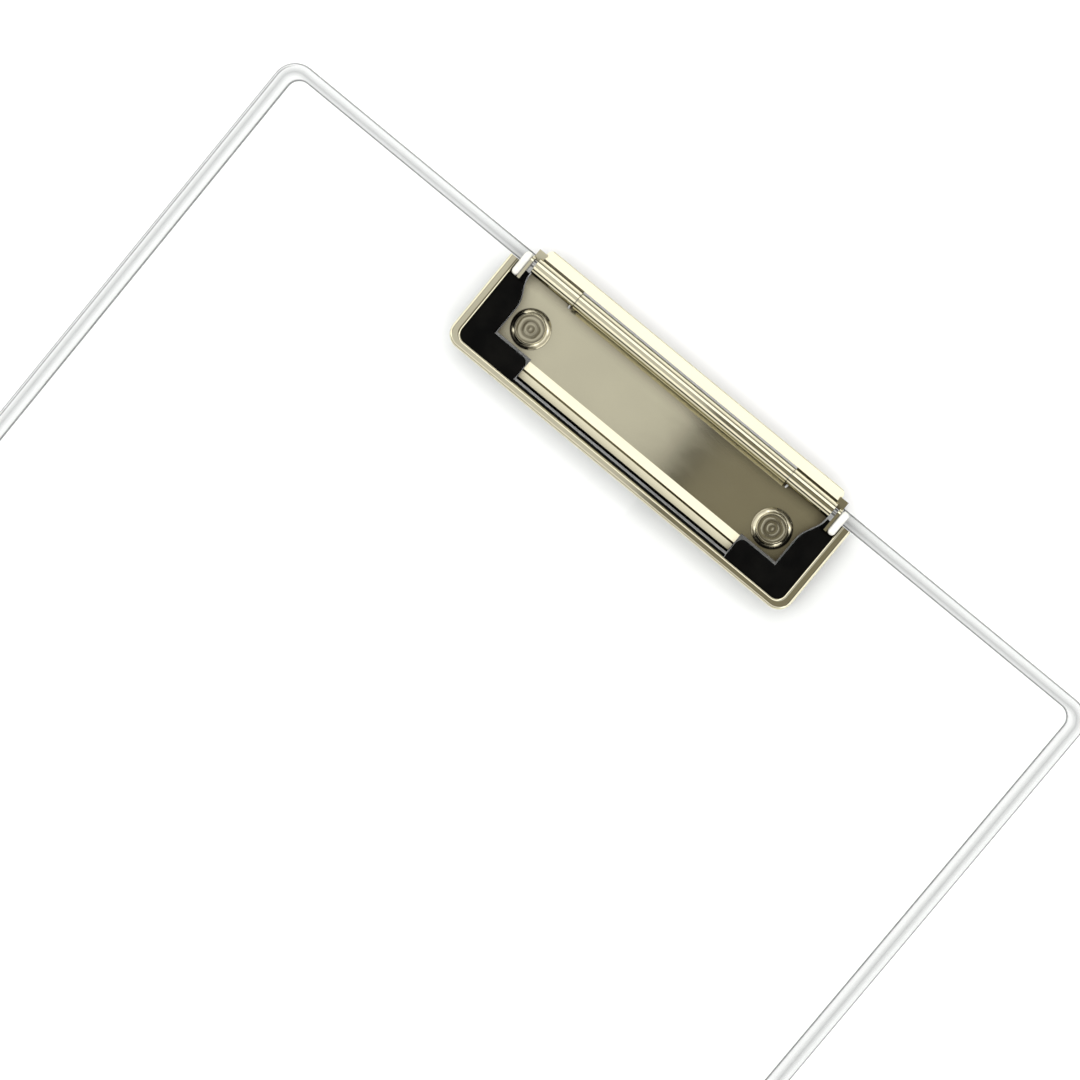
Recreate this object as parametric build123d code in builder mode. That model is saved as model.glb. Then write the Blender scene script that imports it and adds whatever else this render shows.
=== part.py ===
from build123d import *
import math
import os

# Clear clipboard with a low-profile sprung clip.
# Millimetres. The board lies on its back, +Z is up, +Y points to the clip end.
# Distances called "back" are measured forward from the rear edge of the press lip.

# --- board ---
board_width = 228.6
board_length = 317.5
board_thickness = 3.0
board_corner = 5.5
border_width = 4.2
border_top_width = 3.1
border_corner = 3.0
border_rise = 0.9
border_round = 0.7
border_clip_gap = 1.8
back_edge_round = 0.6

# --- clip, overall ---
clip_width = 96.0
clip_depth = 29.9
lip_overhang = 3.0
clip_corner = 3.6
clip_inner_corner = 2.0
sheet = 0.9

# --- fits ---
seat_gap = 0.02
running_gap = 0.03
body_gap = 0.35
rest_gap = 0.2
spring_gap = 0.07
hood_gap = 0.15
grip_clear = 0.05
edge_tolerance = 0.1

# --- hinge ---
rod_radius = 0.75
rod_back = 5.0
rod_height = 3.0
rod_end_chamfer = 0.15
knuckle_wall = 1.2
knuckle_slit = 0.3
knuckle_web_upper = 200.0
knuckle_web_lower = 258.0

# --- press lip and hoods over the springs ---
spring_bay = 12.0
lip_depth = 2.6
lip_taper = 0.5
lip_corner = 1.3
lip_drop = 0.35
lip_fall = 0.85
lip_round = 0.4
hood_wall = 0.65
hood_front_angle = 20.0
web_top = 0.2
web_overlap = 0.2

# --- hinge ears ---
ear_gap = 1.0
ear_width = 2.6
ear_front_back = 9.5
ear_wall = 0.85
ear_sheet = 0.7
ear_floor = -0.35
ear_floor_sheet = 0.6
ear_overlap = 0.3
cap_round = 0.8
cap_front_round = 0.9
link_back = 1.6
link_front_back = 4.1
link_overlap = 0.6

# --- frame bars ---
side_bar_width = 2.4
front_bar_width = 2.1
bar_wall = 0.8
bar_top = 1.0
bar_foot_gap = 0.7
bar_outer_round = 0.75
bar_inner_round = 0.7
bar_rear_back = 6.3

# --- base plate ---
plate_rear_back = 3.3
plate_web_back = 8.4
plate_shoulder_back = 7.0
plate_waist_back = 15.0
plate_waist_inset = 2.4
plate_knee = 0.5
flange_inset = 9.7
flange_length = 5.2
flange_show = 1.1
flange_rise = 0.95
flange_fall = 0.5
flange_bend = 0.5
flange_band = 2.4
flange_crease = 0.25
flange_front_chamfer = 0.5

# --- rivets and washers ---
rivet_inset = 5.3
rivet_setback = 5.1
rivet_shank = 2.0
rivet_head = 4.55
rivet_rim_height = 0.15
rivet_head_height = 0.8
rivet_head_slope = 58.0
rivet_dome = 3.45
rivet_dome_height = 0.4
rivet_dome_round = 0.3
rivet_ring_outer = 1.7
rivet_ring_inner = 1.2
rivet_ring_depth = 0.25
rivet_tail = 3.0
rivet_tail_height = 0.7
rivet_tail_round = 0.35
rivet_bore = 1.2
rivet_bore_depth = 1.6
washer_radius = 3.9
washer_thickness = 0.5
pocket_radius = 4.2
pocket_depth = 1.6

# --- rubber ---
grip_top = 0.1
grip_step_back = 9.8
grip_step_drop = 1.2
grip_end_round = 1.6
strip_clear = 0.1
strip_chamfer = 0.3

# --- springs ---
wire_radius = 0.24
spring_pitch = 0.8
spring_turns = 12
spring_end_gap = 1.0
coil_gap = 0.1
leg_length = 3.0

# --- positions worked out from the sizes above ---
total_length = board_length + lip_overhang
clip_rear_y = total_length / 2
board_top_y = clip_rear_y - lip_overhang
board_mid_y = board_top_y - board_length / 2
face = board_thickness
plate_z = face + seat_gap
plate_top = plate_z + sheet
rod_y = clip_rear_y - rod_back
rod_z = face + rod_height
clip_half = clip_width / 2
front_y = clip_rear_y - clip_depth
bar_inner_half = clip_half - side_bar_width
bar_back_y = front_y + front_bar_width
bar_length = clip_depth - bar_rear_back
wall_inner_half = clip_half - bar_wall
wall_inner_y = front_y + bar_wall
bar_z = rod_z + bar_top
bar_foot = face + bar_foot_gap
bar_height = bar_z - bar_foot
ear_outer = bar_inner_half
ear_inner = ear_outer - ear_width
ear_radius = rod_radius + ear_wall
ear_floor_length = ear_front_back - rod_back - ear_radius - seat_gap
lip_half = ear_inner - ear_gap
knuckle_half = lip_half - spring_bay
knuckle_radius = rod_radius + knuckle_wall
web_seat = knuckle_radius - web_overlap
web_upper = math.radians(knuckle_web_upper)
web_lower = math.radians(knuckle_web_lower)
hood_inner = rod_radius + coil_gap + 2 * wire_radius + spring_gap
hood_outer = hood_inner + hood_wall
hood_cut = 3 * hood_outer
hood_cut_rise = hood_cut * math.tan(math.radians(hood_front_angle))
bore_radius = rod_radius + running_gap
plate_waist_half = lip_half - plate_waist_inset
flange_half = plate_waist_half - flange_inset
flange_front_back = clip_depth - front_bar_width - flange_show
plate_front_back = flange_front_back - flange_length
flange_front_y = clip_rear_y - flange_front_back
flange_crease_y = flange_front_y + flange_band
plate_front_y = clip_rear_y - plate_front_back
plate_shoulder_y = clip_rear_y - plate_shoulder_back
plate_waist_y = clip_rear_y - plate_waist_back
plate_web_y = clip_rear_y - plate_web_back
plate_sweep = math.hypot(plate_front_back - rod_back, rod_height)
flange_sweep = math.hypot(flange_front_back - rod_back, rod_height)
rivet_x = plate_waist_half - rivet_inset
rivet_y = plate_front_y + rivet_setback
tail_z = pocket_depth - washer_thickness - rivet_tail_height
dome_z = plate_top + rivet_head_height
grip_foot = face + rest_gap
grip_z = rod_z + grip_top
grip_back_y = rod_y - plate_sweep - body_gap
grip_rear_y = clip_rear_y - bar_rear_back - bar_wall - grip_clear
grip_front_y = wall_inner_y + grip_clear
grip_outer_half = wall_inner_half - grip_clear
grip_corner = clip_corner - bar_wall - grip_clear
strip_back_y = rod_y - flange_sweep - body_gap
coil_radius = rod_radius + coil_gap + wire_radius
leg_reach = math.hypot(coil_radius, leg_length)
leg_lead = math.atan2(coil_radius, leg_length)
plate_leg_drop = rod_z - plate_top - wire_radius - spring_gap
lip_fall_at_leg = lip_fall * (leg_reach - rod_back + lip_depth) / lip_depth
lip_leg_drop = lip_drop + lip_fall_at_leg + wire_radius + spring_gap
plate_leg_angle = math.degrees(leg_lead - math.acos(-plate_leg_drop / leg_reach))
lip_leg_angle = -math.degrees(leg_lead + math.acos(lip_leg_drop / leg_reach))
coil_length = spring_pitch * (spring_turns - (lip_leg_angle - plate_leg_angle) / 360)
spring_inner_x = knuckle_half + hood_gap + spring_end_gap

# --- the board, its raised border and the pockets for the rivet tails ---
with BuildPart() as board:
    with BuildSketch(Plane.XY):
        with Locations((0, board_mid_y)):
            RectangleRounded(board_width, board_length, board_corner)
    extrude(amount=board_thickness)
    fillet(board.edges().group_by(Axis.Z)[0], back_edge_round)
    with BuildSketch(Plane.XY.offset(face)):
        with Locations((0, board_mid_y)):
            RectangleRounded(board_width, board_length, board_corner)
        with Locations((0, board_mid_y + (border_width - border_top_width) / 2)):
            RectangleRounded(
                board_width - 2 * border_width,
                board_length - border_width - border_top_width,
                border_corner,
                mode=Mode.SUBTRACT,
            )
        with Locations((0, board_top_y)):
            Rectangle(2 * (lip_half + border_clip_gap), 2 * border_width, mode=Mode.SUBTRACT)
    extrude(amount=border_rise)
    fillet(board.edges().group_by(Axis.Z)[-1], border_round)
    with BuildSketch(Plane.XY):
        with Locations((-rivet_x, rivet_y), (rivet_x, rivet_y)):
            Circle(pocket_radius)
    extrude(amount=pocket_depth, mode=Mode.SUBTRACT)
    with BuildSketch(Plane.XY):
        with Locations((-rivet_x, rivet_y), (rivet_x, rivet_y)):
            Circle(rivet_shank + running_gap)
    extrude(amount=board_thickness, mode=Mode.SUBTRACT)
board.part.label = "board"

# --- outline of the flat part of the base plate ---
with BuildSketch(Plane.XY.offset(plate_z)) as plate_outline:
    with BuildLine():
        Polyline(
            (0, clip_rear_y - plate_rear_back),
            (lip_half, clip_rear_y - plate_rear_back),
            (lip_half, plate_shoulder_y),
        )
        Spline(
            (lip_half, plate_shoulder_y),
            (plate_waist_half, plate_waist_y),
            tangents=[(0, -1), (0, -1)],
        )
        Polyline(
            (plate_waist_half, plate_waist_y),
            (plate_waist_half, plate_front_y),
            (0, plate_front_y),
        )
        mirror(about=Plane.YZ)
    make_face()

# --- the base plate: hinge knuckle, flat, paper-stop flange ---
with BuildPart() as base_plate:
    add(plate_outline.sketch)
    extrude(amount=sheet)
    with BuildSketch(Plane.YZ):
        with Locations((rod_y, rod_z)):
            Circle(knuckle_radius)
        with BuildLine():
            Polyline(
                (plate_web_y - sheet, plate_z),
                (plate_web_y - sheet, plate_top),
                (plate_web_y + plate_knee, plate_top),
                (rod_y + web_seat * math.cos(web_upper), rod_z + web_seat * math.sin(web_upper)),
                (rod_y, rod_z),
                (rod_y + web_seat * math.cos(web_lower), rod_z + web_seat * math.sin(web_lower)),
                (plate_web_y + plate_knee + sheet, plate_z),
                (plate_web_y - sheet, plate_z),
            )
        make_face()
    extrude(amount=knuckle_half, both=True)
    with BuildSketch(Plane.YZ):
        with Locations((rod_y, rod_z)):
            Circle(bore_radius)
        with Locations((rod_y + knuckle_slit, rod_z)):
            Rectangle(knuckle_slit, knuckle_radius, align=(Align.CENTER, Align.MAX))
    extrude(amount=knuckle_half, both=True, mode=Mode.SUBTRACT)
    with BuildSketch(Plane.YZ):
        with BuildLine():
            Polyline(
                (plate_front_y + sheet, plate_z),
                (plate_front_y + sheet, plate_top),
                (plate_front_y - flange_bend, plate_top),
                (flange_crease_y + flange_crease, plate_top + flange_rise),
                (flange_crease_y, plate_top + flange_rise - flange_crease),
                (flange_crease_y - flange_crease, plate_top + flange_rise),
                (flange_front_y + flange_front_chamfer, plate_top + flange_rise - flange_fall),
                (flange_front_y, plate_top + flange_rise - flange_fall - flange_front_chamfer),
                (flange_front_y, plate_z),
                (plate_front_y - 2 * flange_bend, plate_z),
                (plate_front_y + sheet, plate_z),
            )
        make_face()
    extrude(amount=flange_half, both=True)
    with BuildSketch(Plane.XY.offset(plate_z)):
        with Locations((-rivet_x, rivet_y), (rivet_x, rivet_y)):
            Circle(rivet_shank + running_gap)
    extrude(amount=sheet, mode=Mode.SUBTRACT)
base_plate.part.label = "base_plate"

# --- the hinge rod, held in the knuckle and carrying the ears ---
with BuildPart() as hinge_rod:
    with BuildSketch(Plane.YZ):
        with Locations((rod_y, rod_z)):
            Circle(rod_radius)
    extrude(amount=ear_outer - rod_end_chamfer, both=True)
    chamfer(hinge_rod.edges().group_by(Axis.X)[0], rod_end_chamfer)
    chamfer(hinge_rod.edges().group_by(Axis.X)[-1], rod_end_chamfer)
hinge_rod.part.label = "hinge_rod"

# --- outlines shared by the jaw and its rubber ---
with BuildSketch(Plane.XY.offset(bar_foot)) as bar_outline:
    with Locations((0, front_y)):
        Rectangle(clip_width, bar_length, align=(Align.CENTER, Align.MIN))
    fillet(bar_outline.vertices().group_by(Axis.Y)[0], clip_corner)

with BuildSketch(Plane.XY.offset(bar_foot)) as bar_opening:
    with Locations((0, bar_back_y)):
        Rectangle(2 * bar_inner_half, bar_length, align=(Align.CENTER, Align.MIN))
    fillet(bar_opening.vertices().group_by(Axis.Y)[0], clip_inner_corner)

with BuildSketch(Plane.XY.offset(bar_foot)) as bar_hollow:
    with Locations((0, wall_inner_y)):
        Rectangle(2 * wall_inner_half, bar_length - 2 * bar_wall, align=(Align.CENTER, Align.MIN))
    fillet(bar_hollow.vertices().group_by(Axis.Y)[0], clip_corner - bar_wall)

# --- the three frame bars, open underneath for the rubber ---
with BuildPart() as frame_bars:
    add(bar_outline.sketch)
    extrude(amount=bar_height)
    fillet(frame_bars.edges().group_by(Axis.Z)[-1].sort_by(Axis.Y)[:-1], bar_outer_round)
    add(bar_opening.sketch)
    extrude(amount=bar_height, mode=Mode.SUBTRACT)
    inner_edges = frame_bars.edges().group_by(Axis.Z)[-1].filter_by(
        lambda edge: abs(edge.center().X) < bar_inner_half + edge_tolerance
        and edge.center().Y > bar_back_y - edge_tolerance
    )
    fillet(inner_edges, bar_inner_round)
    add(bar_hollow.sketch)
    extrude(amount=bar_height - bar_wall, mode=Mode.SUBTRACT)

# --- the press lip, sloping down to its rounded rear edge ---
with BuildSketch(Plane.XY) as lip_outline:
    with BuildLine():
        Polyline(
            (-lip_half, clip_rear_y - lip_depth),
            (-lip_half + lip_taper, clip_rear_y),
            (lip_half - lip_taper, clip_rear_y),
            (lip_half, clip_rear_y - lip_depth),
            (-lip_half, clip_rear_y - lip_depth),
        )
    make_face()
    fillet(lip_outline.vertices().group_by(Axis.Y)[-1], lip_corner)

with BuildPart() as press_lip:
    with BuildSketch(Plane.YZ):
        with BuildLine():
            Polyline(
                (clip_rear_y - lip_depth, rod_z - lip_drop),
                (clip_rear_y, rod_z - lip_drop - lip_fall),
                (clip_rear_y, rod_z - lip_drop - lip_fall + sheet),
                (clip_rear_y - lip_depth, rod_z - lip_drop + sheet),
                (clip_rear_y - lip_depth, rod_z - lip_drop),
            )
        make_face()
    extrude(amount=lip_half, both=True)
    fillet(press_lip.edges().filter_by(Axis.X).group_by(Axis.Y)[-1], lip_round)
    add(lip_outline.sketch)
    extrude(amount=2 * rod_z, mode=Mode.INTERSECT)

# --- white hinge cap, a rounded tab that bears on one end of the rod ---
with BuildPart() as hinge_cap_right:
    with BuildSketch(Plane.YZ.offset(ear_inner + ear_sheet + seat_gap)):
        with Locations((rod_y, rod_z)):
            Circle(ear_radius)
        with Locations((clip_rear_y - ear_front_back, rod_z + ear_floor + seat_gap)):
            Rectangle(
                ear_front_back - rod_back,
                ear_radius - ear_floor - seat_gap,
                align=(Align.MIN, Align.MIN),
            )
    extrude(amount=ear_width - ear_sheet - 2 * seat_gap)
    fillet(hinge_cap_right.edges().filter_by(Axis.Z).group_by(Axis.Y)[0], cap_front_round)
    fillet(hinge_cap_right.edges().filter_by(Axis.Y).group_by(Axis.Z)[-1], cap_round)
    with BuildSketch(Plane.YZ.offset(ear_inner)):
        with Locations((rod_y, rod_z)):
            Circle(bore_radius)
    extrude(amount=ear_width, mode=Mode.SUBTRACT)
hinge_cap_right.part.label = "hinge_cap_right"

with BuildPart() as hinge_cap_left:
    mirror(hinge_cap_right.part, about=Plane.YZ)
hinge_cap_left.part.label = "hinge_cap_left"

# --- a hinge ear: an upright wall on the rod and a floor that carries the cap ---
with BuildPart() as hinge_ear:
    with BuildSketch(Plane.YZ.offset(ear_inner)):
        with Locations((rod_y, rod_z)):
            Circle(ear_radius)
        with Locations((clip_rear_y - ear_front_back, rod_z + ear_floor - ear_floor_sheet)):
            Rectangle(
                ear_front_back - rod_back,
                ear_radius - ear_floor + ear_floor_sheet,
                align=(Align.MIN, Align.MIN),
            )
    extrude(amount=ear_sheet)
    with BuildSketch(Plane.YZ.offset(ear_inner)):
        with Locations((clip_rear_y - ear_front_back, rod_z + ear_floor - ear_floor_sheet)):
            Rectangle(ear_floor_length, ear_floor_sheet, align=(Align.MIN, Align.MIN))
    extrude(amount=ear_width + ear_overlap)

# --- the jaw: hoods over the springs and hinge ears, joined to the lip and the bars ---
with BuildPart() as jaw_frame:
    with BuildSketch(Plane.YZ.offset(knuckle_half + hood_gap)):
        with Locations((rod_y, rod_z)):
            Circle(hood_outer)
            Circle(hood_inner, mode=Mode.SUBTRACT)
        with Locations((rod_y, rod_z - lip_drop)):
            Rectangle(hood_cut, hood_cut, align=(Align.CENTER, Align.MAX), mode=Mode.SUBTRACT)
        with BuildLine():
            Polyline(
                (rod_y, rod_z),
                (rod_y - hood_cut, rod_z + hood_cut_rise),
                (rod_y - hood_cut, rod_z - hood_outer),
                (rod_y, rod_z),
            )
        make_face(mode=Mode.SUBTRACT)
        with Locations((rod_y + hood_inner, rod_z - lip_drop)):
            Rectangle(
                rod_back - lip_depth - hood_inner + web_overlap,
                lip_drop + web_top,
                align=(Align.MIN, Align.MIN),
            )
    extrude(amount=lip_half - knuckle_half - hood_gap)
    add(hinge_ear.part)
    with BuildSketch(Plane.XY.offset(rod_z - lip_drop)):
        with Locations((lip_half - link_overlap, clip_rear_y - link_back)):
            Rectangle(
                ear_gap + 2 * link_overlap,
                link_front_back - link_back,
                align=(Align.MIN, Align.MAX),
            )
    extrude(amount=sheet)
    with BuildSketch(Plane.YZ.offset(ear_inner)):
        with Locations((rod_y, rod_z)):
            Circle(bore_radius)
    extrude(amount=ear_width + ear_overlap, mode=Mode.SUBTRACT)
    mirror(about=Plane.YZ)
    add(frame_bars.part)
    add(press_lip.part)
jaw_frame.part.label = "jaw_frame"

# --- rubber corner grips, bonded up into the frame bars ---
with BuildPart() as rubber_corner_right:
    with BuildSketch(Plane.XY.offset(grip_foot)):
        with BuildLine():
            Polyline(
                (lip_half + body_gap, grip_rear_y),
                (lip_half + body_gap, plate_shoulder_y),
            )
            Spline(
                (lip_half + body_gap, plate_shoulder_y),
                (plate_waist_half + body_gap, plate_waist_y),
                tangents=[(0, -1), (0, -1)],
            )
            Polyline(
                (plate_waist_half + body_gap, plate_waist_y),
                (plate_waist_half + body_gap, grip_back_y),
                (flange_half + body_gap + grip_end_round, grip_back_y),
            )
            RadiusArc(
                (flange_half + body_gap + grip_end_round, grip_back_y),
                (flange_half + body_gap, grip_back_y - grip_end_round),
                -grip_end_round,
            )
            Polyline(
                (flange_half + body_gap, grip_back_y - grip_end_round),
                (flange_half + body_gap, grip_front_y),
                (grip_outer_half - grip_corner, grip_front_y),
            )
            RadiusArc(
                (grip_outer_half - grip_corner, grip_front_y),
                (grip_outer_half, grip_front_y + grip_corner),
                -grip_corner,
            )
            Polyline(
                (grip_outer_half, grip_front_y + grip_corner),
                (grip_outer_half, grip_rear_y),
                (lip_half + body_gap, grip_rear_y),
            )
        make_face()
    extrude(amount=grip_z - grip_foot)
    with BuildSketch(Plane.XY.offset(grip_z - grip_step_drop)):
        with Locations((0, clip_rear_y - grip_step_back)):
            Rectangle(clip_width, grip_step_back, align=(Align.CENTER, Align.MIN))
    extrude(amount=grip_step_drop, mode=Mode.SUBTRACT)
rubber_corner_right.part.label = "rubber_corner_right"

with BuildPart() as rubber_corner_left:
    mirror(rubber_corner_right.part, about=Plane.YZ)
rubber_corner_left.part.label = "rubber_corner_left"

# --- rubber strip under the front bar, between the corner grips ---
with BuildPart() as rubber_strip:
    with BuildSketch(Plane.XY.offset(grip_foot)):
        with Locations((0, grip_front_y)):
            Rectangle(
                2 * (flange_half + body_gap - strip_clear),
                strip_back_y - grip_front_y,
                align=(Align.CENTER, Align.MIN),
            )
    extrude(amount=grip_z - grip_foot)
    chamfer(rubber_strip.edges().group_by(Axis.Z)[0].filter_by(Axis.X), strip_chamfer)
rubber_strip.part.label = "rubber_strip"

# --- rivets: ringed head on the plate, shank, spread tail in the board's pocket ---
with BuildPart() as rivet_left:
    with BuildSketch(Plane.XY.offset(plate_top + seat_gap)):
        with Locations((-rivet_x, rivet_y)):
            Circle(rivet_head)
    extrude(amount=rivet_rim_height)
    with BuildSketch(Plane.XY.offset(plate_top + seat_gap + rivet_rim_height)):
        with Locations((-rivet_x, rivet_y)):
            Circle(rivet_head)
    extrude(amount=rivet_head_height - seat_gap - rivet_rim_height, taper=rivet_head_slope)
    with BuildSketch(Plane.XY.offset(dome_z)):
        with Locations((-rivet_x, rivet_y)):
            Circle(rivet_dome)
    extrude(amount=rivet_dome_height)
    fillet(rivet_left.edges().group_by(Axis.Z)[-1], rivet_dome_round)
    with BuildSketch(Plane.XY.offset(dome_z + rivet_dome_height - rivet_ring_depth)):
        with Locations((-rivet_x, rivet_y)):
            Circle(rivet_ring_outer)
            Circle(rivet_ring_inner, mode=Mode.SUBTRACT)
    extrude(amount=rivet_ring_depth, mode=Mode.SUBTRACT)
    with BuildSketch(Plane.XY.offset(tail_z)):
        with Locations((-rivet_x, rivet_y)):
            Circle(rivet_shank)
    extrude(amount=dome_z - tail_z)
    with BuildSketch(Plane.XY.offset(tail_z)):
        with Locations((-rivet_x, rivet_y)):
            Circle(rivet_tail)
    extrude(amount=rivet_tail_height - 2 * seat_gap)
    fillet(rivet_left.edges().group_by(Axis.Z)[0], rivet_tail_round)
    with BuildSketch(Plane.XY.offset(tail_z)):
        with Locations((-rivet_x, rivet_y)):
            Circle(rivet_bore)
    extrude(amount=rivet_bore_depth, mode=Mode.SUBTRACT)
rivet_left.part.label = "rivet_left"

with BuildPart() as rivet_right:
    mirror(rivet_left.part, about=Plane.YZ)
rivet_right.part.label = "rivet_right"

# --- washers under the rivet tails ---
with BuildPart() as washer_left:
    with BuildSketch(Plane.XY.offset(pocket_depth - washer_thickness - seat_gap)):
        with Locations((-rivet_x, rivet_y)):
            Circle(washer_radius)
            Circle(rivet_shank + running_gap, mode=Mode.SUBTRACT)
    extrude(amount=washer_thickness)
washer_left.part.label = "washer_left"

with BuildPart() as washer_right:
    mirror(washer_left.part, about=Plane.YZ)
washer_right.part.label = "washer_right"

# --- torsion springs round the rod: one leg on the plate, one under the press lip ---
with BuildPart() as spring_wire:
    with BuildLine() as coil_line:
        coil = Helix(
            spring_pitch,
            coil_length,
            coil_radius,
            direction=(1, 0, 0),
        )
    with BuildSketch(Plane(origin=coil @ 0, z_dir=coil % 0)):
        Circle(wire_radius)
    sweep(path=coil_line.line, is_frenet=True)
    with BuildSketch(Plane(origin=coil @ 0, z_dir=-(coil % 0))):
        Circle(wire_radius)
    extrude(amount=leg_length)
    with BuildSketch(Plane(origin=coil @ 1, z_dir=coil % 1)):
        Circle(wire_radius)
    extrude(amount=leg_length)

with BuildPart() as torsion_spring_right:
    with Locations(Location((spring_inner_x, rod_y, rod_z), (90 - plate_leg_angle, 0, 0))):
        add(spring_wire.part)
torsion_spring_right.part.label = "torsion_spring_right"

with BuildPart() as torsion_spring_left:
    mirror(torsion_spring_right.part, about=Plane.YZ)
torsion_spring_left.part.label = "torsion_spring_left"

os.makedirs("parts", exist_ok=True)
export_step(board.part, "parts/board.step")
export_step(base_plate.part, "parts/base_plate.step")
export_step(hinge_rod.part, "parts/hinge_rod.step")
export_step(hinge_cap_left.part, "parts/hinge_cap_left.step")
export_step(hinge_cap_right.part, "parts/hinge_cap_right.step")
export_step(jaw_frame.part, "parts/jaw_frame.step")
export_step(rubber_corner_left.part, "parts/rubber_corner_left.step")
export_step(rubber_corner_right.part, "parts/rubber_corner_right.step")
export_step(rubber_strip.part, "parts/rubber_strip.step")
export_step(rivet_left.part, "parts/rivet_left.step")
export_step(rivet_right.part, "parts/rivet_right.step")
export_step(washer_left.part, "parts/washer_left.step")
export_step(washer_right.part, "parts/washer_right.step")
export_step(torsion_spring_left.part, "parts/torsion_spring_left.step")
export_step(torsion_spring_right.part, "parts/torsion_spring_right.step")
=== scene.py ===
"""Looks of the clear clipboard with a low-profile sprung clip: materials, studio light, camera."""

import math

import bmesh
import bpy
from mathutils import Matrix, Vector


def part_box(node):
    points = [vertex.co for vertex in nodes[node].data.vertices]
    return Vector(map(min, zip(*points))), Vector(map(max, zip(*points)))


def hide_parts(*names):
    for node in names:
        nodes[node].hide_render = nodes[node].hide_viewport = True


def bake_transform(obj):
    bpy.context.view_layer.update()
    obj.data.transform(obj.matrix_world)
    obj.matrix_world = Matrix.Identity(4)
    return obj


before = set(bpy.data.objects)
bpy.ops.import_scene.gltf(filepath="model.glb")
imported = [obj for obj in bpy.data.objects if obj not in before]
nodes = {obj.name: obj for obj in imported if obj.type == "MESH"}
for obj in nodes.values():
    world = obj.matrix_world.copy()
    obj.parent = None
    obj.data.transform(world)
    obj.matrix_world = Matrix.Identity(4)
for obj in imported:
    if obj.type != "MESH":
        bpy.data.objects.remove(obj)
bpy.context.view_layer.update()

# Sizes are in metres.
# The board's raised border, with painted shade: the heights between which it sets in, how far its
# painted dark middle line lies inside the board's outline, and that line's half width.
BORDER_FOOT = 0.0032
BORDER_TOP = 0.0036
BORDER_MIDDLE = 0.0020
BORDER_LINE = 0.0011
# Corner radius of the board's outline.
BOARD_CORNER = 0.0055

# The floor: half its width, and how far it lies under the frame's origin.
FLOOR_HALF = 3.0
FLOOR_DROP = 0.0004

# Rays that each point sends out to find how deep it lies in a crevice, where shade is painted.
CREVICE_SAMPLES = 8

# Places of the colour sockets of a mix node, whose sockets share their names.
MIX_FIRST = 6
MIX_SECOND = 7
MIX_RESULT = 2

# Colours, linear.
PALE_GOLD = (0.80, 0.755, 0.56, 1)
PALE_GOLD_WORN = (0.70, 0.66, 0.50, 1)
# Painted shade for crevices and the gaps between metal parts.
PAINTED_CREVICE_SHADE = (0.06, 0.045, 0.025, 1)
RIVET_GOLD = (0.62, 0.58, 0.43, 1)
RIVET_WORN = (0.34, 0.31, 0.22, 1)
STEEL = (0.56, 0.56, 0.55, 1)
STEEL_DARK = (0.42, 0.42, 0.41, 1)
RUBBER = (0.0015, 0.0015, 0.0014, 1)
RUBBER_DUSTY = (0.004, 0.0038, 0.0032, 1)
NYLON = (0.84, 0.83, 0.78, 1)
NYLON_SHADE = (0.74, 0.73, 0.67, 1)
ACRYLIC = (0.985, 0.99, 0.988, 1)
ACRYLIC_HAZE = (0.965, 0.97, 0.968, 1)
# Painted shade for the sheet's rounded edges.
PAINTED_EDGE_SHADE = (0.03, 0.031, 0.032, 1)
ACRYLIC_WALL = (0.72, 0.76, 0.75, 1)
# Painted shade for the middle line and the rest of the board's raised border.
PAINTED_BEAD_LINE = (0.26, 0.265, 0.27, 1)
PAINTED_BORDER_GREY = (0.66, 0.665, 0.67, 1)
FLOOR_WHITE = (0.93, 0.93, 0.93, 1)
DIM_ROOM = (1.0, 0.92, 0.72, 1)
WARM_DIM = (1.0, 0.93, 0.74)
WALL_WHITE = (1.0, 1.0, 0.99, 1)


def middle_of(low, high):
    """The middle of a box given by its two corners."""
    return [(low[axis] + high[axis]) / 2 for axis in range(3)]


# --- node helpers ---

def link(tree, source, target):
    tree.links.new(source, target)


def principled(name, settings):
    """A material made of one Principled shader with these settings, its tree and its shader."""
    material = bpy.data.materials.new(name)
    material.use_nodes = True
    tree = material.node_tree
    tree.nodes.clear()
    output = tree.nodes.new("ShaderNodeOutputMaterial")
    shader = tree.nodes.new("ShaderNodeBsdfPrincipled")
    for socket, value in settings.items():
        shader.inputs[socket].default_value = value
    link(tree, shader.outputs["BSDF"], output.inputs["Surface"])
    return material, tree, shader


def link_finish(tree, shader, colour, roughness, normal):
    link(tree, colour, shader.inputs["Base Color"])
    link(tree, roughness, shader.inputs["Roughness"])
    link(tree, normal, shader.inputs["Normal"])


def coordinates(tree, kind):
    """The x, y and z of one output of the texture coordinate node."""
    coords = tree.nodes.new("ShaderNodeTexCoord")
    split = tree.nodes.new("ShaderNodeSeparateXYZ")
    link(tree, coords.outputs[kind], split.inputs["Vector"])
    return split.outputs


def mapped(tree, stretch=(1, 1, 1), shift=(0, 0, 0)):
    """The object's own coordinates, in metres, stretched and shifted."""
    coords = tree.nodes.new("ShaderNodeTexCoord")
    mapping = tree.nodes.new("ShaderNodeMapping")
    mapping.inputs["Scale"].default_value = stretch
    mapping.inputs["Location"].default_value = shift
    link(tree, coords.outputs["Object"], mapping.inputs["Vector"])
    return mapping.outputs["Vector"]


def noise(tree, scale, detail, stretch=(1, 1, 1)):
    """Noise over the object's own coordinates."""
    texture = tree.nodes.new("ShaderNodeTexNoise")
    texture.inputs["Scale"].default_value = scale
    texture.inputs["Detail"].default_value = detail
    link(tree, mapped(tree, stretch=stretch), texture.inputs["Vector"])
    return texture.outputs["Fac"]


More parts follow.
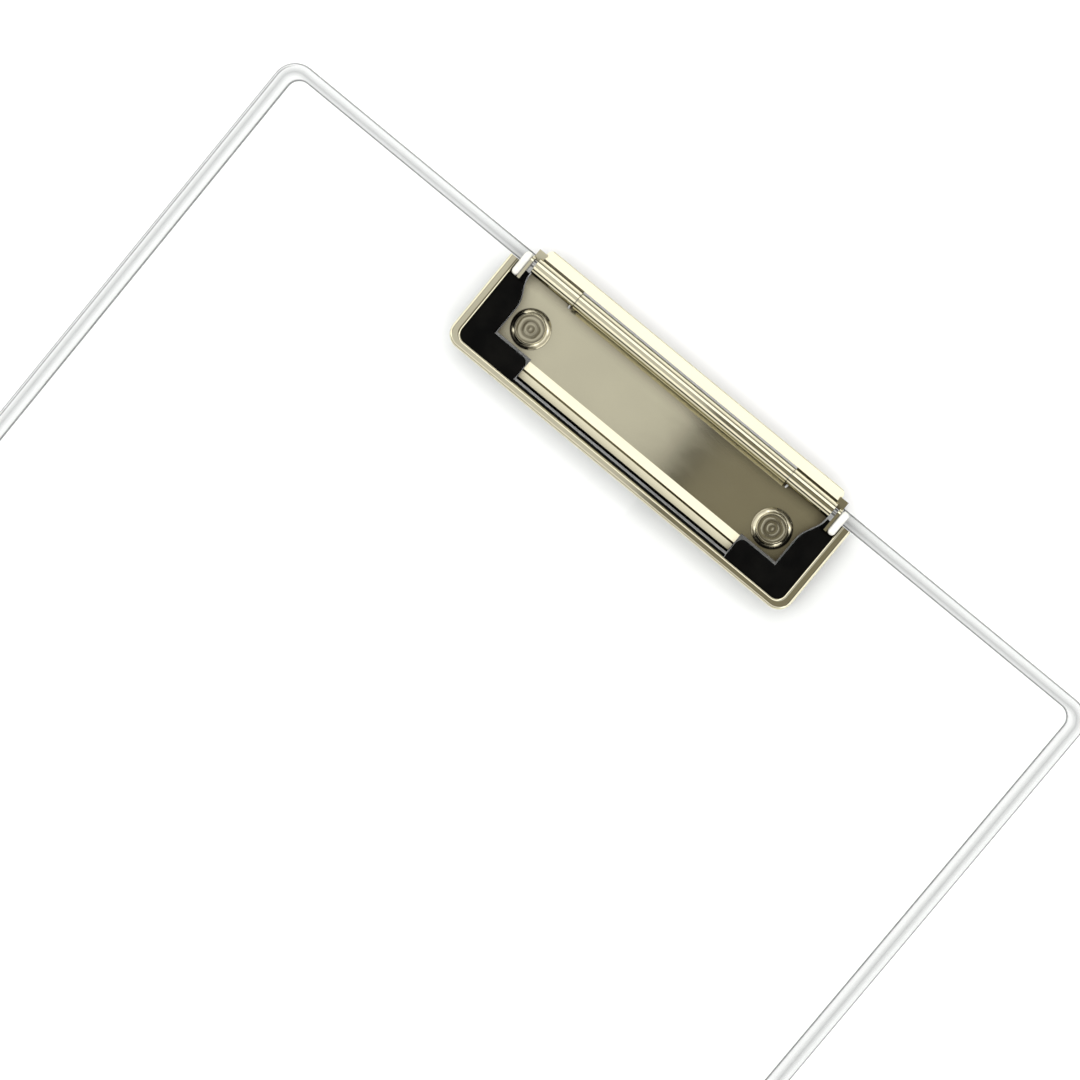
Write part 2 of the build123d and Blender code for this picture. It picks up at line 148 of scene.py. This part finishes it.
def ramp(tree, value, low=0.0, high=1.0, from_low=0.35, from_high=0.65):
    """Maps a value onto low..high; it comes from the middle of noise's range unless told."""
    node = tree.nodes.new("ShaderNodeMapRange")
    node.inputs["From Min"].default_value = from_low
    node.inputs["From Max"].default_value = from_high
    node.inputs["To Min"].default_value = low
    node.inputs["To Max"].default_value = high
    link(tree, value, node.inputs["Value"])
    return node.outputs["Result"]


def mix_colour(tree, factor, first, second):
    """From first to second, each a colour or a node's output."""
    node = tree.nodes.new("ShaderNodeMix")
    node.data_type = "RGBA"
    for place, value in ((MIX_FIRST, first), (MIX_SECOND, second)):
        if isinstance(value, tuple):
            node.inputs[place].default_value = value
        else:
            link(tree, value, node.inputs[place])
    link(tree, factor, node.inputs["Factor"])
    return node.outputs[MIX_RESULT]


def bump(tree, height, distance, strength=1.0):
    node = tree.nodes.new("ShaderNodeBump")
    node.inputs["Distance"].default_value = distance
    node.inputs["Strength"].default_value = strength
    link(tree, height, node.inputs["Height"])
    return node.outputs["Normal"]


def maths(tree, operation, first, second=0.0):
    """A sum on first and second, each a number or a node's output."""
    node = tree.nodes.new("ShaderNodeMath")
    node.operation = operation
    for socket, value in zip(node.inputs, (first, second)):
        if isinstance(value, (int, float)):
            socket.default_value = value
        else:
            link(tree, value, socket)
    return node.outputs[0]


def depth_from_outline(tree, low, high, corner):
    """How far inside a rounded rectangle, seen from above, a point of the object lies."""
    place = coordinates(tree, "Object")
    beyond = []
    for axis in (0, 1):
        middle = (low[axis] + high[axis]) / 2
        straight = (high[axis] - low[axis]) / 2 - corner
        offset = maths(tree, "ABSOLUTE", maths(tree, "SUBTRACT", place[axis], middle))
        beyond.append(maths(tree, "SUBTRACT", offset, straight))
    squares = [maths(tree, "POWER", maths(tree, "MAXIMUM", value, 0.0), 2.0) for value in beyond]
    round_part = maths(tree, "SQRT", maths(tree, "ADD", *squares))
    straight_part = maths(tree, "MINIMUM", maths(tree, "MAXIMUM", *beyond), 0.0)
    return maths(tree, "SUBTRACT", corner, maths(tree, "ADD", round_part, straight_part))


def faces_up(tree):
    """1 where the object's surface lies level, front or back, and 0 where it stands upright."""
    return maths(tree, "ABSOLUTE", coordinates(tree, "Normal")["Z"])


def height_above(tree, low, high):
    """0 below the height low of the object, 1 above high."""
    return ramp(tree, coordinates(tree, "Object")["Z"], from_low=low, from_high=high)


def open_sky(tree, reach, low, high):
    """0 where reach around a point is open by less than low, 1 where by more than high."""
    node = tree.nodes.new("ShaderNodeAmbientOcclusion")
    node.samples = CREVICE_SAMPLES
    node.inputs["Distance"].default_value = reach
    return ramp(tree, node.outputs["AO"], from_low=low, from_high=high)


# --- materials ---

def polished_sheet():
    """Mirror-polished plate: slow waviness from stamping, fine wipe marks, a few dull patches, and
    painted shade that darkens its crevices and the gaps between parts.
    """
    material, tree, shader = principled("pale_gold_sheet", {"Metallic": 1.0})
    patches = noise(tree, scale=90.0, detail=3.0)
    marks = noise(tree, scale=420.0, detail=3.0, stretch=(0.3, 1, 1))
    waves = noise(tree, scale=25.0, detail=1.0)
    plating = mix_colour(tree, ramp(tree, patches, high=0.3), PALE_GOLD, PALE_GOLD_WORN)
    # Painted shade: the colour goes dark in crevices and between parts, where shade falls.
    open_to_light = open_sky(tree, reach=0.004, low=0.35, high=0.93)
    colour = mix_colour(tree, open_to_light, PAINTED_CREVICE_SHADE, plating)
    roughness = ramp(tree, marks, low=0.07, high=0.085)
    link_finish(tree, shader, colour, roughness, bump(tree, waves, distance=0.00001))
    return material


def turning_marks(tree, low, high):
    """Faint uneven rings round the upright axis through the middle of a box."""
    rings = tree.nodes.new("ShaderNodeTexWave")
    rings.wave_type = "RINGS"
    rings.rings_direction = "Z"
    rings.inputs["Scale"].default_value = 260.0
    rings.inputs["Distortion"].default_value = 2.5
    rings.inputs["Detail"].default_value = 2.0
    shift = [-value for value in middle_of(low, high)]
    link(tree, mapped(tree, shift=shift), rings.inputs["Vector"])
    return rings.outputs["Fac"]


def turned_rivet(node_name):
    """Plated rivet head with faint turning rings round its own axis, and painted shade that darkens
    it in its hollow and where it meets the plate.
    """
    material, tree, shader = principled("turned_" + node_name, {"Metallic": 1.0})
    rings = turning_marks(tree, *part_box(node_name))
    worn = ramp(tree, rings, from_low=0.2, from_high=0.9)
    plating = mix_colour(tree, worn, RIVET_GOLD, RIVET_WORN)
    # Painted shade: the colour goes dark in the rivet's hollow and where it meets the plate.
    open_to_light = open_sky(tree, reach=0.0012, low=0.2, high=0.8)
    colour = mix_colour(tree, open_to_light, PAINTED_CREVICE_SHADE, plating)
    roughness = ramp(tree, rings, low=0.10, high=0.22)
    link_finish(tree, shader, colour, roughness, bump(tree, rings, distance=0.00005, strength=0.8))
    return material


def drawn_steel():
    """Bright drawn rod and wire with marks along its length."""
    material, tree, shader = principled("drawn_steel", {"Metallic": 1.0})
    marks = noise(tree, scale=1600.0, detail=4.0, stretch=(0.08, 1, 1))
    colour = mix_colour(tree, ramp(tree, marks), STEEL, STEEL_DARK)
    roughness = ramp(tree, marks, low=0.18, high=0.34)
    link_finish(tree, shader, colour, roughness, bump(tree, marks, distance=0.00002, strength=0.5))
    return material


def moulded_rubber():
    """Black moulded rubber: fine pebble and a little dust bloom."""
    material, tree, shader = principled("black_rubber", {"Specular IOR Level": 0.04})
    bloom = noise(tree, scale=160.0, detail=3.0)
    pebble = noise(tree, scale=5200.0, detail=2.0)
    colour = mix_colour(tree, ramp(tree, bloom), RUBBER, RUBBER_DUSTY)
    roughness = ramp(tree, pebble, low=0.55, high=0.75)
    link_finish(tree, shader, colour, roughness, bump(tree, pebble, distance=0.00003, strength=0.6))
    return material


def moulded_nylon():
    """White moulded nylon, half glossy, a little uneven."""
    material, tree, shader = principled("white_nylon", {})
    tone = noise(tree, scale=260.0, detail=3.0)
    skin = noise(tree, scale=2600.0, detail=2.0)
    colour = mix_colour(tree, ramp(tree, tone), NYLON, NYLON_SHADE)
    roughness = ramp(tree, skin, low=0.22, high=0.34)
    link_finish(tree, shader, colour, roughness, bump(tree, skin, distance=0.00001, strength=0.5))
    return material


def painted_border_colour(tree, sheet):
    """The sheet's colour, but with painted shade: grey on the raised border and darkest along its
    middle line.
    """
    depth = depth_from_outline(tree, *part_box("board"), BOARD_CORNER)
    off_middle = maths(tree, "ABSOLUTE", maths(tree, "SUBTRACT", depth, BORDER_MIDDLE))
    line = ramp(tree, off_middle, low=1.0, high=0.0, from_low=0.0, from_high=BORDER_LINE)
    painted_bead = mix_colour(tree, line, PAINTED_BORDER_GREY, PAINTED_BEAD_LINE)
    return mix_colour(tree, height_above(tree, BORDER_FOOT, BORDER_TOP), sheet, painted_bead)


def acrylic_colour(tree, haze):
    """Clear on level faces, with painted shade making it dark on rounded edges, and pale on upright
    walls.
    """
    faces = painted_border_colour(tree, mix_colour(tree, ramp(tree, haze), ACRYLIC, ACRYLIC_HAZE))
    level = faces_up(tree)
    rounded = ramp(tree, level, from_low=0.05, from_high=0.35)
    flat = ramp(tree, level, from_low=0.72, from_high=0.97)
    # Painted shade: the rounded edges are darkened in place of the dark lines that refraction draws
    # there.
    shaded_edges = mix_colour(tree, rounded, ACRYLIC_WALL, PAINTED_EDGE_SHADE)
    return mix_colour(tree, flat, shaded_edges, faces)


def let_lamps_through(tree, shader):
    """Shadow and diffuse rays go straight through, so that the floor under the sheet stays lit."""
    surface = shader.outputs["BSDF"].links[0].to_socket
    clear = tree.nodes.new("ShaderNodeBsdfTransparent")
    clear.inputs["Color"].default_value = ACRYLIC
    path = tree.nodes.new("ShaderNodeLightPath")
    either = maths(tree, "MAXIMUM", path.outputs["Is Shadow Ray"], path.outputs["Is Diffuse Ray"])
    mix = tree.nodes.new("ShaderNodeMixShader")
    link(tree, either, mix.inputs["Fac"])
    link(tree, shader.outputs["BSDF"], mix.inputs[1])
    link(tree, clear.outputs["BSDF"], mix.inputs[2])
    link(tree, mix.outputs["Shader"], surface)


def clear_acrylic():
    """Clear moulded sheet, faintly hazy and scuffed along its length, with painted shade on its
    rounded edges and raised border.
    """
    settings = {"Transmission Weight": 1.0, "IOR": 1.49}
    material, tree, shader = principled("clear_acrylic", settings)
    haze = noise(tree, scale=22.0, detail=3.0)
    scuffs = noise(tree, scale=700.0, detail=6.0, stretch=(1, 0.1, 1))
    colour = acrylic_colour(tree, haze)
    roughness = ramp(tree, scuffs, high=0.03)
    link_finish(tree, shader, colour, roughness, bump(tree, haze, distance=0.00003, strength=0.4))
    let_lamps_through(tree, shader)
    return material


def studio_floor():
    """Matt white card."""
    settings = {"Base Color": FLOOR_WHITE, "Specular IOR Level": 0.0}
    material, tree, shader = principled("studio_floor", settings)
    grain = noise(tree, scale=60.0, detail=2.0)
    link(tree, ramp(tree, grain, low=0.85, high=1.0), shader.inputs["Roughness"])
    return material


def dress(node_names, material):
    for node_name in node_names:
        mesh = nodes[node_name].data
        mesh.materials.clear()
        mesh.materials.append(material)


def dress_all():
    dress(["base_plate", "jaw_frame"], polished_sheet())
    for rivet in ("rivet_left", "rivet_right"):
        dress([rivet], turned_rivet(rivet))
    steel = drawn_steel()
    dress(["hinge_rod", "washer_left", "washer_right"], steel)
    dress(["torsion_spring_left", "torsion_spring_right"], steel)
    dress(["rubber_corner_left", "rubber_corner_right", "rubber_strip"], moulded_rubber())
    dress(["hinge_cap_left", "hinge_cap_right"], moulded_nylon())
    dress(["board"], clear_acrylic())


# --- springs, wound between their two legs ---

def wind_spring(node_name):
    """The spring's own shape, copied in place of the imported spring, which is hidden."""
    source = nodes[node_name]
    piece = bpy.data.objects.new(node_name.replace("torsion", "wound"), source.data.copy())
    piece.matrix_world = source.matrix_world.copy()
    bpy.context.collection.objects.link(piece)
    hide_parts(node_name)
    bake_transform(piece)


def wind_springs():
    wind_spring("torsion_spring_left")
    wind_spring("torsion_spring_right")


# --- floor, light and camera ---

def make_floor():
    mesh = bpy.data.meshes.new("floor")
    form = bmesh.new()
    quarters = ((-1, -1), (1, -1), (1, 1), (-1, 1))
    corners = [form.verts.new((x * FLOOR_HALF, y * FLOOR_HALF, -FLOOR_DROP)) for x, y in quarters]
    form.faces.new(corners)
    form.to_mesh(mesh)
    form.free()
    floor = bpy.data.objects.new("floor", mesh)
    bpy.context.collection.objects.link(floor)
    mesh.materials.append(studio_floor())


def make_world(overhead, horizon):
    """A room of strength overhead and horizon in those places, dim and warm above, pale below."""
    world = bpy.data.worlds.new("studio")
    bpy.context.scene.world = world
    world.use_nodes = True
    tree = world.node_tree
    background = tree.nodes["Background"]
    upward = coordinates(tree, "Generated")["Z"]
    height = ramp(tree, upward, from_low=0.28, from_high=0.45)
    strength = ramp(tree, height, low=horizon, high=overhead, from_low=0.0, from_high=1.0)
    link(tree, mix_colour(tree, height, WALL_WHITE, DIM_ROOM), background.inputs["Color"])
    link(tree, strength, background.inputs["Strength"])


def softbox(name, centre, target, width, height, radiance, tint=(1, 1, 1), in_reflections=True):
    """A rectangular lamp facing its target, as bright for its radiance whatever its size."""
    lamp = bpy.data.lights.new(name, "AREA")
    lamp.shape = "RECTANGLE"
    lamp.size = width
    lamp.size_y = height
    lamp.color = tint
    lamp.energy = radiance * math.pi * width * height
    obj = bpy.data.objects.new(name, lamp)
    bpy.context.collection.objects.link(obj)
    direction = Vector(target) - Vector(centre)
    obj.location = centre
    obj.rotation_euler = direction.to_track_quat("-Z", "Y").to_euler()
    obj.visible_glossy = in_reflections
    obj.visible_transmission = in_reflections


def make_overhead_lamps(middle):
    """A key lamp for the floor, and the bright left and dim right panels that the metal mirrors."""
    x, y, z = middle
    softbox(
        "key",
        centre=(x, y - 0.1, z + 1.6),
        target=(x, y - 0.1, z),
        width=2.2,
        height=2.2,
        radiance=1.35,
        in_reflections=False,
    )
    softbox(
        "overhead_left",
        centre=(x - 0.28, y, z + 1.0),
        target=(x - 0.28, y, z),
        width=0.5,
        height=1.0,
        radiance=0.60,
    )
    softbox(
        "overhead_right",
        centre=(x + 0.185, y, z + 1.0),
        target=(x + 0.185, y, z),
        width=0.4,
        height=0.5,
        radiance=0.19,
        tint=WARM_DIM,
    )


def make_side_lamps(middle):
    """Panels on the four sides, for the metal's slopes and rounded edges."""
    x, y, z = middle
    rear = (x, y + 0.8, z + 1.0)
    front = (x, y - 0.68, z + 1.0)
    softbox("rear", rear, middle, width=2.4, height=0.7, radiance=1.45)
    softbox("front", front, middle, width=2.4, height=0.6, radiance=1.1)
    for name, side in (("right", 1), ("left", -1)):
        centre = (x + side * 1.1, y, z + 0.7)
        softbox(name, centre, middle, width=1.8, height=0.8, radiance=1.25)


def make_camera(foot, height, lens, look, up_hint):
    """A long lens above foot, looking along look; up_hint points up in the picture."""
    data = bpy.data.cameras.new("camera")
    data.sensor_width = 36.0
    data.lens = lens
    data.clip_start = 0.01
    camera = bpy.data.objects.new("camera", data)
    bpy.context.collection.objects.link(camera)
    back = -Vector(look).normalized()
    right = Vector(up_hint).cross(back).normalized()
    up = back.cross(right)
    turn = Matrix((right, up, back)).transposed()
    camera.matrix_world = Matrix.Translation((foot[0], foot[1], height)) @ turn.to_4x4()
    bpy.context.scene.camera = camera


def frame_picture():
    """The photograph's view, nearly straight down on the clip end of the board."""
    aside = 0.0318
    inboard = 0.0158
    clip_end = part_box("board")[1][1]
    make_camera(
        foot=(aside, clip_end - inboard),
        height=0.6611,
        lens=100.0,
        look=(-0.0531, -0.0485, -0.9974),
        up_hint=(-0.638, 0.77, 0),
    )
    bpy.context.scene.view_settings.view_transform = "Standard"
    bpy.context.scene.view_settings.look = "None"


dress_all()
wind_springs()
make_floor()
clip_middle = middle_of(*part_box("base_plate"))
make_world(overhead=0.05, horizon=0.9)
make_overhead_lamps(clip_middle)
make_side_lamps(clip_middle)
frame_picture()
